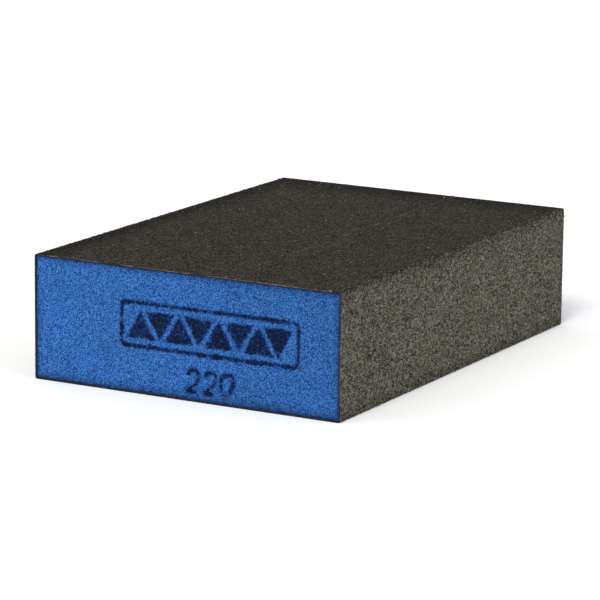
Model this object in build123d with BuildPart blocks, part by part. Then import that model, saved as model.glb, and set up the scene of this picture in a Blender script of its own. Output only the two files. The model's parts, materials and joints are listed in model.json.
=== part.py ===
"""Foam sanding block: a firm foam core with abrasive coats on its four long faces.

Units are millimetres. +Z is up, +X runs across the width and +Y along the length. The origin is
the centre of the bottom face, and the printed end of the block faces -Y.

The block is made the way a factory makes it. A foam slab gets its coats on top and bottom and is
slit into strips. The slit sides are coated next, and these side coats run round the long edges
and a little way onto the top and bottom. The strips are then cut to length, so both ends are
bare foam, and one end is stamped with ink. Each coat is three layers, from the foam outwards: a
resin make coat, a bed of abrasive grain and a resin size coat. The foam is 2-3/4 inches wide and
1 inch thick, the coats stand on it, and the block is cut 4 inches long.
"""

import os
from math import radians, sqrt, tan

from build123d import *

# Driving dimensions of the foam, the cut length and the coated block's long edges
FOAM_WIDTH = 69.85
FOAM_HEIGHT = 25.4
BLOCK_LENGTH = 101.6
EDGE_RADIUS = 0.5

# Layers of each coat, and how far the side coats run past the rounded edge onto a face
MAKE_COAT = 0.08
GRAIN_BED = 0.12
SIZE_COAT = 0.06
SIDE_LAP = 0.4

# Ink stamped on the end, and how deep it soaks into the cut foam
INK_DEPTH = 0.15

# The stamp's border and the row of grain marks in it
BORDER_CENTRE = (5.6, 14.2)
BORDER_WIDTH = 41.0
BORDER_HEIGHT = 9.6
BORDER_LINE = 0.7
BORDER_CORNER = 1.5
GRAIN_MARKS = 8
GRAIN_MARK_HEIGHT = 5.6
GRAIN_MARK_PITCH = 4.5

# The grit grade under the border
NUMBER_CENTRE = (5.9, 4.3)
DIGIT_WIDTH = 2.75
DIGIT_HEIGHT = 4.3
DIGIT_PITCH = 3.85
DIGIT_STROKE = 0.95
DIGIT_SLANT = 12.0

COAT = MAKE_COAT + GRAIN_BED + SIZE_COAT
BLOCK_WIDTH = FOAM_WIDTH + 2 * COAT
BLOCK_HEIGHT = FOAM_HEIGHT + 2 * COAT
HALF_HEIGHT = BLOCK_HEIGHT / 2
FACE_HALF_WIDTH = BLOCK_WIDTH / 2 - EDGE_RADIUS - SIDE_LAP
SIDE_STRIP = BLOCK_WIDTH / 2 - FACE_HALF_WIDTH

# Depth under the outer surface where each layer starts and ends
LAYERS = {
    "size_coat": (0, SIZE_COAT),
    "grain_bed": (SIZE_COAT, SIZE_COAT + GRAIN_BED),
    "make_coat": (SIZE_COAT + GRAIN_BED, COAT),
}

# The window of the cross-section that each face's coat fills: its centre, then its size
WINDOWS = {
    "top": ((0, HALF_HEIGHT * 1.5), (2 * FACE_HALF_WIDTH, HALF_HEIGHT)),
    "bottom": ((0, HALF_HEIGHT * 0.5), (2 * FACE_HALF_WIDTH, HALF_HEIGHT)),
    "left": ((-FACE_HALF_WIDTH - SIDE_STRIP / 2, HALF_HEIGHT), (SIDE_STRIP, BLOCK_HEIGHT)),
    "right": ((FACE_HALF_WIDTH + SIDE_STRIP / 2, HALF_HEIGHT), (SIDE_STRIP, BLOCK_HEIGHT)),
}

# Local x and y on this plane are the block's X and Z, and its normal points out of the end
PRINTED_END = Plane.XZ.offset(BLOCK_LENGTH / 2)

os.makedirs("parts", exist_ok=True)


def write_node(part, name):
    """Labels a finished piece and writes it as one STEP file."""
    part.label = name
    export_step(part, f"parts/{name}.step")


def block_outline(depth, mode=Mode.ADD):
    """The block's cross-section, taken in by a depth all round."""
    RectangleRounded(
        BLOCK_WIDTH - 2 * depth,
        BLOCK_HEIGHT - 2 * depth,
        EDGE_RADIUS - depth,
        mode=mode,
    )


def coat_layer(face, layer):
    """One layer of one face's coat, as long as the block."""
    outer_depth, inner_depth = LAYERS[layer]
    window_centre, window_size = WINDOWS[face]
    with BuildPart() as coat:
        with BuildSketch(PRINTED_END):
            with Locations((0, HALF_HEIGHT)):
                block_outline(outer_depth)
                block_outline(inner_depth, mode=Mode.SUBTRACT)
            with Locations(window_centre):
                Rectangle(*window_size, mode=Mode.INTERSECT)
        extrude(amount=-BLOCK_LENGTH)
    return coat.part


def stamped_border():
    """The plain rounded border of the stamp."""
    with BuildPart() as border:
        with BuildSketch(PRINTED_END):
            with Locations(BORDER_CENTRE):
                RectangleRounded(BORDER_WIDTH, BORDER_HEIGHT, BORDER_CORNER)
                RectangleRounded(
                    BORDER_WIDTH - 2 * BORDER_LINE,
                    BORDER_HEIGHT - 2 * BORDER_LINE,
                    BORDER_CORNER - BORDER_LINE,
                    mode=Mode.SUBTRACT,
                )
        extrude(amount=-INK_DEPTH)
    return border.part


def stamped_grain_marks():
    """A row of solid triangles for grains, pointing up and down by turns."""
    centre_x, centre_y = BORDER_CENTRE
    half_side = GRAIN_MARK_HEIGHT / sqrt(3)
    start = centre_x - GRAIN_MARK_PITCH * (GRAIN_MARKS - 1) / 2
    with BuildPart() as marks:
        with BuildSketch(PRINTED_END):
            for index in range(GRAIN_MARKS):
                middle = start + index * GRAIN_MARK_PITCH
                rise = GRAIN_MARK_HEIGHT / 2 if index % 2 == 0 else -GRAIN_MARK_HEIGHT / 2
                with BuildLine():
                    Polyline(
                        (middle - half_side, centre_y - rise),
                        (middle, centre_y + rise),
                        (middle + half_side, centre_y - rise),
                        close=True,
                    )
                make_face()
        extrude(amount=-INK_DEPTH)
    return marks.part


def slanted(across, up):
    """A point of a digit, from its shares of the width and height, leaning as the digit does."""
    height = DIGIT_HEIGHT * (up - 0.5)
    return (DIGIT_WIDTH * (across - 0.5) + height * tan(radians(DIGIT_SLANT)), height)


def digit_two():
    """The middle lines of a 2: a round top, a slanting neck and a flat foot."""
    shoulder = slanted(0.96, 0.66)
    foot = slanted(0.06, 0.0)
    hook = ThreePointArc(slanted(0.04, 0.74), slanted(0.5, 1.0), shoulder)
    neck = ThreePointArc(shoulder, slanted(0.78, 0.38), foot)
    return hook, neck, Line(foot, slanted(1.0, 0.0))


def digit_zero():
    """The middle line of a 0: a slanted oval."""
    oval = Spline(
        slanted(0.5, 1.0),
        slanted(0.0, 0.5),
        slanted(0.5, 0.0),
        slanted(1.0, 0.5),
        periodic=True,
    )
    return (oval,)


def stamped_grit_number():
    """The grit grade, 220, in strokes of ink."""
    digits = (digit_two, digit_two, digit_zero)
    centre_x, centre_y = NUMBER_CENTRE
    start = centre_x - DIGIT_PITCH * (len(digits) - 1) / 2
    with BuildPart() as number:
        for index, digit in enumerate(digits):
            digit_origin = PRINTED_END.from_local_coords((start + index * DIGIT_PITCH, centre_y))
            with BuildSketch(PRINTED_END.shift_origin(digit_origin)):
                with BuildLine():
                    strokes = digit()
                for stroke in strokes:
                    trace(stroke, line_width=DIGIT_STROKE)
        extrude(amount=-INK_DEPTH)
    return number.part


def foam_core(inks):
    """The foam block under the coats, with shallow pockets where the ink has soaked in."""
    with BuildPart() as core:
        with BuildSketch(PRINTED_END):
            with Locations((0, HALF_HEIGHT)):
                block_outline(COAT)
        extrude(amount=-BLOCK_LENGTH)
        add(inks, mode=Mode.SUBTRACT)
    return core.part


for face_name in WINDOWS:
    for layer_name in LAYERS:
        write_node(coat_layer(face_name, layer_name), f"{face_name}_{layer_name}")

stamp = {
    "stamped_border": stamped_border(),
    "stamped_grain_marks": stamped_grain_marks(),
    "stamped_grit_number": stamped_grit_number(),
}
for ink_name, ink in stamp.items():
    write_node(ink, ink_name)

write_node(foam_core(list(stamp.values())), "foam_core")
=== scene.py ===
"""A foam sanding block, dressed for the camera.

The block is a firm foam core with an abrasive coat on each of its four long faces. Each coat is a
resin make coat on the foam, a bed of abrasive grains in it, and a resin size coat over the grains.
The block was cut to length after it was coated, so both ends are bare foam, and one end carries
an ink stamp.

Every length here is in millimetres until a mesh is written, which is when it becomes metres. The
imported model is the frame: all sizes and places are read from its nodes.
"""

import json
import logging
import math
from dataclasses import dataclass, field
from enum import Enum, IntEnum

import bpy
import numpy as np
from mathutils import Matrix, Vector

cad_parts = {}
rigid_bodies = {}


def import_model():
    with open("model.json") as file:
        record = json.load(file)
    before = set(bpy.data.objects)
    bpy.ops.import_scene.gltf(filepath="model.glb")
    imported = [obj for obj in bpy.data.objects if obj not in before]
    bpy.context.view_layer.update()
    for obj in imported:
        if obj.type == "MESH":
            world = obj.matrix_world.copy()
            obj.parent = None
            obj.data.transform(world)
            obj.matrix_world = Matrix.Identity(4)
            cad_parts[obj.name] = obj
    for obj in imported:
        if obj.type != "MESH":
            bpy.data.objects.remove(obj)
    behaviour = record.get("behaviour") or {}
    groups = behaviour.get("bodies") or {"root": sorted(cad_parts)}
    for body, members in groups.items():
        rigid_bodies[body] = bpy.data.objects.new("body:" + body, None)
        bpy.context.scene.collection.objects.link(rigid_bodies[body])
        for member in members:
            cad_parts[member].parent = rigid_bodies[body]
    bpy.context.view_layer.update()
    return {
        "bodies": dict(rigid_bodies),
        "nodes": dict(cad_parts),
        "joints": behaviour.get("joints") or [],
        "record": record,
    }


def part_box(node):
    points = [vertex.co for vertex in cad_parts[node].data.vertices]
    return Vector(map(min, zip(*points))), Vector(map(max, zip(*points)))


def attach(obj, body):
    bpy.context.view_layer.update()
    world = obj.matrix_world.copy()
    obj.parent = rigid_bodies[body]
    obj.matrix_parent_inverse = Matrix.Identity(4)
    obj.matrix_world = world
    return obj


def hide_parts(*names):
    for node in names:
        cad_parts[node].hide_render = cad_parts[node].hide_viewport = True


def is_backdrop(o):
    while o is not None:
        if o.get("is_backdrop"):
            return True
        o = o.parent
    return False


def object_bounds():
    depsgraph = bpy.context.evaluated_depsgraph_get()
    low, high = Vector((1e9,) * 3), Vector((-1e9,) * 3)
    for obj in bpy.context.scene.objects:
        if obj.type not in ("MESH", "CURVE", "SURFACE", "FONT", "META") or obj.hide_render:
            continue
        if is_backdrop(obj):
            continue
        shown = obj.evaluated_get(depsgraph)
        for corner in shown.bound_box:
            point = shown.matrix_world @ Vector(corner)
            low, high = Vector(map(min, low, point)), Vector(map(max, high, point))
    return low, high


LOG = logging.getLogger("sanding_block")

MM = 0.001
BODY = "root"

# A least and a greatest value, or where something starts and where it is complete
Range = tuple[float, float]

# Whole numbers that spread a lattice point's code over 32 bits, and the shifts that stir it
LATTICE_MIX = (374761393, 668265263, 362437)
LATTICE_STIR = ((13, 1274126177), (16, 1103515245))
LATTICE_LAST_SHIFT = 15
LATTICE_MASK = 0xFFFFFFFF
SHARE_MASK = 0xFFFF

# Further than the middle of any cell that is looked at, in cell widths
FAR_OFF = 9.0


class Draw(IntEnum):
    """What each random pattern adds to its piece's seed, so that no two on a piece are alike."""

    RAGGED = 3
    VOIDS = 5
    BLOTCHES = 5
    BURR = 7
    GRAIN = 9
    SHADE = 13
    RUB_WANDER = 15
    RUB_BREAK = 16
    MAKE_WAVE = 17
    RUB_GRAIN = 18
    MAKE_RIPPLE = 19
    FLAT_FACE = 20


# ---------------------------------------------------------------- small tools


def linear(code: str) -> tuple[float, float, float, float]:
    """Turns an sRGB hex colour into linear RGBA.

    Args:
        code: Six hex digits after a hash sign.

    Returns:
        Red, green, blue and an alpha of 1, as a shader socket takes them.
    """
    shares = [int(code[place : place + 2], 16) / 255 for place in (1, 3, 5)]
    low_slope, low_end, offset, power = 12.92, 0.04045, 0.055, 2.4
    red, green, blue = (
        share / low_slope if share <= low_end else ((share + offset) / (1 + offset)) ** power
        for share in shares
    )
    return red, green, blue, 1.0


def per_mm(size: float) -> float:
    """The scale of a pattern on Object coordinates whose features are this many mm across."""
    return 1 / (size * MM)


def add_node(
    tree: bpy.types.NodeTree,
    kind: str,
    settings: dict[str, object] | None = None,
    inputs: dict[str | int, object] | None = None,
) -> bpy.types.Node:
    """Adds a node to a tree, with its settings and its links.

    Args:
        tree: The material, world or Geometry Nodes tree.
        kind: The node's bl_idname.
        settings: Properties of the node by name.
        inputs: What goes into each input, by its name or index: a socket to link, or a value.

    Returns:
        The node.
    """
    node = tree.nodes.new(kind)
    for name, value in (settings or {}).items():
        setattr(node, name, value)
    for name, value in (inputs or {}).items():
        if isinstance(value, bpy.types.NodeSocket):
            tree.links.new(value, node.inputs[name])
        else:
            node.inputs[name].default_value = value
    return node


def smooth_step(low: float, high: float, values: np.ndarray) -> np.ndarray:
    """Values eased from 0 at low to 1 at high."""
    share = np.clip((values - low) / (high - low), 0, 1)
    return share * share * (3 - 2 * share)


def lattice_random(across: np.ndarray, along: np.ndarray, seed: int) -> np.ndarray:
    """A fixed random share from 0 to 1 for each point of a whole-number lattice.

    Args:
        across: The lattice points' first numbers.
        along: Their second numbers.
        seed: Which of the many random lattices to read.

    Returns:
        One share for each point.
    """
    mix_across, mix_along, mix_seed = LATTICE_MIX
    code = across.astype(np.int64) * mix_across + along.astype(np.int64) * mix_along
    code = (code + seed * mix_seed) & LATTICE_MASK
    for shift, factor in LATTICE_STIR:
        code = ((code ^ (code >> shift)) * factor) & LATTICE_MASK
    return ((code ^ (code >> LATTICE_LAST_SHIFT)) & SHARE_MASK) / SHARE_MASK


def soft_noise(across: np.ndarray, along: np.ndarray, size: float, seed: int) -> np.ndarray:
    """Smooth noise between -1 and 1.

    Args:
        across: Places in mm.
        along: Places in mm, of the same shape.
        size: How many mm the noise's blobs are apart.
        seed: Which noise to read.

    Returns:
        The noise at each place.
    """
    column, row = np.floor(across / size), np.floor(along / size)
    right = smooth_step(0, 1, across / size - column)
    up = smooth_step(0, 1, along / size - row)
    low = lattice_random(column, row, seed) * (1 - right)
    low += lattice_random(column + 1, row, seed) * right
    high = lattice_random(column, row + 1, seed) * (1 - right)
    high += lattice_random(column + 1, row + 1, seed) * right
    return (low * (1 - up) + high * up) * 2 - 1


@dataclass(frozen=True)
class CellPattern:
    """Open cells like those of a cut foam: a pit inside each cell and a wall between cells."""

    size: float
    seed: int

    def read(self, across: np.ndarray, along: np.ndarray) -> tuple[np.ndarray, np.ndarray]:
        """Reads the pattern.

        Args:
            across: Places in mm.
            along: Places in mm, of the same shape.

        Returns:
            How far each place is from the nearest wall, from 0 on it to about 1 in mid-cell,
            and a random share for the cell that the place is in.
        """
        column, row = np.floor(across / self.size), np.floor(along / self.size)
        nearest = np.full(across.shape, FAR_OFF)
        second = np.full(across.shape, FAR_OFF)
        share = np.zeros(across.shape)
        for step_across in (-1, 0, 1):
            for step_along in (-1, 0, 1):
                a, b = column + step_across, row + step_along
                middle_a = a + lattice_random(a, b, self.seed)
                middle_b = b + lattice_random(a, b, self.seed + 1)
                reach = np.hypot(across / self.size - middle_a, along / self.size - middle_b)
                closer = reach < nearest
                second = np.where(closer, nearest, np.minimum(second, reach))
                share = np.where(closer, lattice_random(a, b, self.seed + 2), share)
                nearest = np.where(closer, reach, nearest)
        return second - nearest, share


def make_object(
    name: str,
    points: np.ndarray,
    quads: np.ndarray,
    smooth: np.ndarray,
    polygons: tuple[list[int], ...] = (),
) -> bpy.types.Object:
    """Writes a mesh in metres from points in millimetres.

    Args:
        name: The piece's name.
        points: One row of x, y and z for each point.
        quads: One row of four point numbers for each four-sided face.
        smooth: For each four-sided face, whether it is shaded smooth.
        polygons: Faces with any other number of corners, which are shaded flat.

    Returns:
        The object, linked to the scene.
    """
    corners = [quads.ravel(), *(np.array(polygon) for polygon in polygons)]
    counts = [np.full(len(quads), 4), np.array([len(polygon) for polygon in polygons], int)]
    totals = np.concatenate(counts)
    starts = np.concatenate([[0], np.cumsum(totals)[:-1]])
    mesh = bpy.data.meshes.new(name)
    mesh.vertices.add(len(points))
    mesh.vertices.foreach_set("co", (points * MM).astype(np.float32).ravel())
    mesh.loops.add(int(totals.sum()))
    mesh.loops.foreach_set("vertex_index", np.concatenate(corners).astype(np.int32))
    mesh.polygons.add(len(totals))
    mesh.polygons.foreach_set("loop_start", starts.astype(np.int32))
    shading = np.concatenate([smooth, np.zeros(len(polygons), bool)])
    mesh.polygons.foreach_set("use_smooth", shading)
    mesh.update(calc_edges=True)
    mesh.validate()
    made = bpy.data.objects.new(name, mesh)
    bpy.context.scene.collection.objects.link(made)
    return made


def mark(piece: bpy.types.Object, name: str, values: np.ndarray) -> None:
    """Writes one number for each point of a piece, which its finish reads by name."""
    layer = piece.data.attributes.new(name, "FLOAT", "POINT")
    layer.data.foreach_set("value", values.astype(np.float32).ravel())


def settle(piece: bpy.types.Object, slot: str, *nodes: str) -> bpy.types.Object:
    """Puts a finished piece on the block in place of its CAD nodes, and reports it."""
    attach(piece, BODY)
    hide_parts(*nodes)
    LOG.info("%s: %d faces", piece.name, len(piece.data.polygons))
    return piece


# ---------------------------------------------------------------- sizes from the frame


@dataclass(frozen=True)
class BlockSizes:
    """The block's sizes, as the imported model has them."""

    width: float
    length: float
    height: float
    edge_radius: float
    coat_depth: float
    film_depth: float
    flat_half_width: float

    @classmethod
    def from_frame(cls, frame: dict) -> "BlockSizes":
        """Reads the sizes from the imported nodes.


        Returns:
            The sizes, in mm.
        """
        low, high = (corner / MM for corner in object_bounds())
        core_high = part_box("foam_core")[1] / MM
        make_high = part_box("top_make_coat")[1] / MM
        flat_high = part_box("top_size_coat")[1] / MM
        side = frame["nodes"]["right_size_coat"].data.vertices
        rounding_error = 0.001
        flat_from = (high.x - rounding_error) * MM
        outermost = [vertex.co.z for vertex in side if vertex.co.x > flat_from]
        return cls(
            width=high.x - low.x,
            length=high.y - low.y,
            height=high.z - low.z,
            edge_radius=high.z - max(outermost) / MM,
            coat_depth=high.z - core_high.z,
            film_depth=high.z - make_high.z,
            flat_half_width=flat_high.x,
        )


# ---------------------------------------------------------------- finishes


MIX_SHARE, MIX_UNDER, MIX_OVER, MIX_RESULT = 0, 6, 7, 2
BUMP_STRENGTH = 0.5


@dataclass(frozen=True)
class Layer:
    """A colour laid over what is under it, by a share from 0 to 1."""

    colour: bpy.types.NodeSocket | str
    share: bpy.types.NodeSocket | float = 1.0
    blend: str = "MIX"


@dataclass(frozen=True)
class Finish:
    """What every finish has: a name, a feel, and a way to build up its colour in layers.

    The gloss is the shader's specular level, and the relief is how many mm its bumps stand up.
    """

    name: str
    roughness: float
    gloss: float
    relief: float

    def start(self, *marks: str) -> tuple[bpy.types.Material, dict[str, bpy.types.NodeSocket]]:
        """Makes the material with an empty tree.

        Args:
            marks: The names of the numbers on the piece's points that the finish reads.

        Returns:
            The material, and its sockets: the Object coordinates as "places", and each mark.
        """
        material = bpy.data.materials.new(self.name)
        material.use_nodes = True
        tree = material.node_tree
        tree.nodes.clear()
        read = {"places": add_node(tree, "ShaderNodeTexCoord").outputs["Object"]}
        for mark_name in marks:
            settings = {"attribute_type": "GEOMETRY", "attribute_name": mark_name}
            read[mark_name] = add_node(tree, "ShaderNodeAttribute", settings).outputs["Fac"]
        return material, read

    @staticmethod
    def specks(
        tree: bpy.types.NodeTree,
        places: bpy.types.NodeSocket,
        size: float,
        spread: Range,
        detail: float = 1.5,
        softness: float = 0.2,
    ) -> bpy.types.NodeSocket:
        """Speckles spread evenly between two values.

        Args:
            tree: The material's tree.
            places: The Object coordinates.
            size: How many mm the speckles are apart.
            spread: The least and the greatest value.
            detail: How many finer speckles are added.
            softness: How slowly dark turns to light, from 0 for hard spots.

        Returns:
            The value.
        """
        rough = {"Vector": places, "Scale": per_mm(size), "Detail": detail}
        noise = add_node(tree, "ShaderNodeTexNoise", {"noise_dimensions": "3D"}, rough)
        middle = (0.5 - softness, 0.5 + softness)
        return Finish.mapped(tree, noise.outputs["Fac"], middle, spread)

    @staticmethod
    def mapped(
        tree: bpy.types.NodeTree,
        value: bpy.types.NodeSocket,
        taken: Range,
        given: Range = (0.0, 1.0),
    ) -> bpy.types.NodeSocket:
        """A value carried over from one range to another, and held at the other's ends."""
        inputs = {"Value": value, "From Min": taken[0], "From Max": taken[1]}
        inputs |= {"To Min": given[0], "To Max": given[1]}
        return add_node(tree, "ShaderNodeMapRange", {"clamp": True}, inputs).outputs["Result"]

    @staticmethod
    def painted(
        tree: bpy.types.NodeTree, base: bpy.types.NodeSocket | str, *layers: Layer
    ) -> bpy.types.NodeSocket:
        """Lays colours over a base one after another.

        Args:
            tree: The material's tree.
            base: The colour that all the layers lie on.
            layers: The layers, from the lowest up.

        Returns:
            The colour of them all.
        """
        result = linear(base) if isinstance(base, str) else base
        for layer in layers:
            over = linear(layer.colour) if isinstance(layer.colour, str) else layer.colour
            settings = {"data_type": "RGBA", "blend_type": layer.blend}
            inputs = {MIX_SHARE: layer.share, MIX_UNDER: result, MIX_OVER: over}
            result = add_node(tree, "ShaderNodeMix", settings, inputs).outputs[MIX_RESULT]
        return result

    def close(
        self,
        tree: bpy.types.NodeTree,
        colour: bpy.types.NodeSocket,
        height: bpy.types.NodeSocket,
        **constants: float,
    ) -> None:
        """Ends the tree in a bump and a Principled shader.

        Args:
            tree: The material's tree.
            colour: What goes into Base Color.
            height: The bump's height, as a share of the relief.
            **constants: More of the shader's sockets, which are the same all over the surface.
        """
        bump = {"Height": height, "Distance": self.relief * MM, "Strength": BUMP_STRENGTH}
        normal = add_node(tree, "ShaderNodeBump", None, bump).outputs["Normal"]
        inputs = {"Base Color": colour, "Normal": normal, "Roughness": self.roughness}
        inputs |= {"Specular IOR Level": self.gloss} | constants
        shader = add_node(tree, "ShaderNodeBsdfPrincipled", None, inputs)
        add_node(tree, "ShaderNodeOutputMaterial", None, {"Surface": shader.outputs["BSDF"]})


@dataclass(frozen=True)
class CutFoamFinish(Finish):
    """Open-cell polyurethane foam, dyed through and cut with a blade.

    The cell walls end in pale, slightly furry rims, whose brightest strands carry a painted
    sheen, and the cells between them are painted dark, which is painted shade, so the eye sees a
    fine salt-and-pepper blue with no gloss at all.
    """

    name: str = "cut_polyurethane_foam"
    roughness: float = 0.95
    gloss: float = 0.08
    relief: float = 0.05
    wall: str = "#3067AD"
    hollow: str = "#08377A"
    mouth: str = "#022A66"
    painted_sheen: str = "#89A3CA"
    stained: str = "#143061"
    stain_and_shade: str = "#0A1733"
    cell: float = 0.5
    mouth_spacing: float = 0.4
    mouth_reach: Range = (0.2, 0.5)
    mouth_share: float = 0.9
    strand_spacing: float = 0.23
    strand_range: Range = (0.4, 1.5)
    painted_sheen_range: Range = (-0.12, 0.14)
    drift_spacing: float = 14.0
    drift_range: Range = (0.93, 1.06)

    def material(self) -> bpy.types.Material:
        """Makes the material."""
        material, read = self.start("pit", "halo", "edge")
        tree, places = material.node_tree, read["places"]
        strands = self.specks(tree, places, self.strand_spacing, self.strand_range)
        painted_sheen = self.specks(tree, places, self.strand_spacing, self.painted_sheen_range)
        drift = self.specks(tree, places, self.drift_spacing, self.drift_range)
        spaced = {"Vector": places, "Scale": per_mm(self.mouth_spacing)}
        cells = add_node(tree, "ShaderNodeTexVoronoi", {"feature": "F1"}, spaced)
        from_middle = cells.outputs["Distance"]
        mouth = self.mapped(tree, from_middle, self.mouth_reach, (self.mouth_share, 0.0))
        colour = self.painted(
            tree,
            self.wall,
            # The pit and mouth layers are painted shade in the foam's cells.
            Layer(self.hollow, read["pit"]),
            Layer(self.mouth, mouth),
            Layer(strands, blend="MULTIPLY"),
            # A pale painted sheen on the brightest strands.
            Layer(self.painted_sheen, painted_sheen),
            Layer(drift, blend="MULTIPLY"),
            Layer(self.stained, read["halo"]),
            # Resin stain by the coats, and painted shade at the rim, towards the floor and to the
            # right.
            Layer(self.stain_and_shade, read["edge"]),
        )
        self.close(tree, colour, strands)
        return material


@dataclass(frozen=True)
class CoatFinish(Finish):
    """Cured phenolic resin over fine aluminium oxide grain, sprayed on the skin of a foam.

    It is dull and slightly brown where it is thin, painted darker down in the foam's pits, which
    is painted shade, and paler on the crowns, where the grain tips stand in it. The sides, which
    are slit foam, are paler than the top and bottom, partly in their own colour and partly
    because the flat faces carry painted shade for the light that grazes them; the sides' pits
    are deeper.
    """

    roughness: float = 0.88
    gloss: float = 0.12
    relief: float = 0.05
    # The flat faces' crown is darker than the sides': partly its own colour, partly painted shade
    # for faces that the light grazes.
    crown: str = "#332F28"
    hollow: str = "#12100E"
    side_crown: str = "#5D5B53"
    side_hollow: str = "#100F0D"
    brown: str = "#D8C4B0"
    shaded: str = "#0C0906"
    scuffed: str = "#6E675C"
    speck_spacing: float = 0.24
    speck_range: Range = (0.25, 1.75)
    speck_rise: float = 0.136
    speck_detail: float = 1.0
    speck_softness: float = 0.1
    stretch: float = 2.0
    drift_spacing: float = 7.0
    drift_range: Range = (0.0, 0.4)
    drift_detail: float = 3.0

    def material(self) -> bpy.types.Material:
        """Makes the material.

        The rollers that spread the resin draw its grain out along the block, so the specks lie
        lengthwise. They are raised a little, because the noise is weakest on its lattice's planes
        and the faces must lie between two of those.
        """
        material, read = self.start("pit", "side", "edge", "scuff")
        tree, places = material.node_tree, read["places"]
        drawn_out = {"Vector": places, "Scale": (1.0, 1 / self.stretch, 1.0)}
        drawn_out["Location"] = (0.0, 0.0, self.speck_rise * MM)
        lengthwise = add_node(tree, "ShaderNodeMapping", None, drawn_out).outputs["Vector"]
        texture = (self.speck_range, self.speck_detail, self.speck_softness)
        specks = self.specks(tree, lengthwise, self.speck_spacing, *texture)
        drift = self.specks(tree, places, self.drift_spacing, self.drift_range, self.drift_detail)
        # The hollow colours in the pits are painted shade.
        flat_face = self.painted(tree, self.crown, Layer(self.hollow, read["pit"]))
        side_face = self.painted(tree, self.side_crown, Layer(self.side_hollow, read["pit"]))
        colour = self.painted(
            tree,
            flat_face,
            Layer(side_face, read["side"]),
            Layer(specks, blend="MULTIPLY"),
            Layer(self.brown, drift, "MULTIPLY"),
            Layer(self.shaded, read["edge"]),
            Layer(self.scuffed, read["scuff"]),
        )
        self.close(tree, colour, specks)
        return material


@dataclass(frozen=True)
class GrainFinish(Finish):
    """Crushed brown aluminium oxide under resin: sharp grains, mostly dull, a few glassy."""

    roughness: float = 0.6
    gloss: float = 0.2
    relief: float = 0.02
    refraction: float = 1.76
    dark: str = "#1D1B18"
    middle: str = "#413E38"
    pale: str = "#7A7366"
    pale_from: float = 0.95
    cleavage_spacing: float = 0.12
    cleavage_range: Range = (0.8, 1.15)

    def material(self) -> bpy.types.Material:
        """Makes the material."""
        material, read = self.start("tone")
        tree = material.node_tree
        pale = self.mapped(tree, read["tone"], (self.pale_from, 1.0))
        cleavage = self.specks(tree, read["places"], self.cleavage_spacing, self.cleavage_range)
        colour = self.painted(
            tree,
            self.dark,
            Layer(self.middle, read["tone"]),
            Layer(self.pale, pale),
            Layer(cleavage, blend="MULTIPLY"),
        )
        self.close(tree, colour, cleavage, IOR=self.refraction)
        return material


@dataclass(frozen=True)
class MakeCoatFinish(Finish):
    """The cut edge of a cured resin coat: tan at its outside, nearly black where it meets foam.

    The blade smears it, so the tan comes and goes along the edge.
    """

    roughness: float = 0.7
    gloss: float = 0.2
    relief: float = 0.03
    refraction: float = 1.55
    tan: str = "#7B6C55"
    dark: str = "#19140F"
    foot: str = "#0A1020"
    tan_share: Range = (-0.25, 0.95)
    patch_spacing: float = 3.5
    patch_detail: float = 4.0
    streak_spacing: float = 0.35
    streak_range: Range = (0.35, 1.5)
    foot_reach: Range = (0.4, 0.7)

    def material(self) -> bpy.types.Material:
        """Makes the material."""
        material, read = self.start("inward")
        tree, places = material.node_tree, read["places"]
        patches = self.specks(tree, places, self.patch_spacing, self.tan_share, self.patch_detail)
        streaks = self.specks(tree, places, self.streak_spacing, self.streak_range)
        foot = self.mapped(tree, read["inward"], self.foot_reach)
        colour = self.painted(
            tree,
            self.dark,
            Layer(self.tan, patches),
            Layer(streaks, blend="MULTIPLY"),
            Layer(self.foot, foot),
        )
        self.close(tree, colour, streaks, IOR=self.refraction)
        return material


@dataclass(frozen=True)
class InkFinish(Finish):
    """Dark blue stamping ink that has soaked into the foam, thin and bluer at its ragged edge."""

    name: str = "stamping_ink_on_foam"
    roughness: float = 0.9
    gloss: float = 0.08
    relief: float = 0.05
    full: str = "#050B1C"
    thin: str = "#0F2857"
    strand_spacing: float = 0.24
    strand_range: Range = (0.4, 1.7)
    bare_spacing: float = 0.336
    bare_range: Range = (-0.6, 0.9)

    def material(self) -> bpy.types.Material:
        """Makes the material."""
        material, read = self.start("thin")
        tree, places = material.node_tree, read["places"]
        strands = self.specks(tree, places, self.strand_spacing, self.strand_range)
        bare = self.specks(tree, places, self.bare_spacing, self.bare_range)
        colour = self.painted(
            tree,
            self.full,
            Layer(self.thin, read["thin"]),
            Layer(self.thin, bare),
            Layer(strands, blend="MULTIPLY"),
        )
        self.close(tree, colour, strands)
        return material


@dataclass(frozen=True)
class FloorFinish(Finish):
    """Matt white studio paper."""

    name: str = "studio_paper"
    roughness: float = 0.95
    gloss: float = 0.1
    relief: float = 0.01
    paper: str = "#FCFCFB"
    bright: str = "#FFFFFF"
    fibre_spacing: float = 1.5
    fibre_range: Range = (0.0, 0.3)

    def material(self) -> bpy.types.Material:
        """Makes the material."""
        material, read = self.start()
        tree = material.node_tree
        fibres = self.specks(tree, read["places"], self.fibre_spacing, self.fibre_range)
        colour = self.painted(tree, self.paper, Layer(self.bright, fibres))
        self.close(tree, colour, fibres)
        return material


# ---------------------------------------------------------------- the foam core and its stamp


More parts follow.
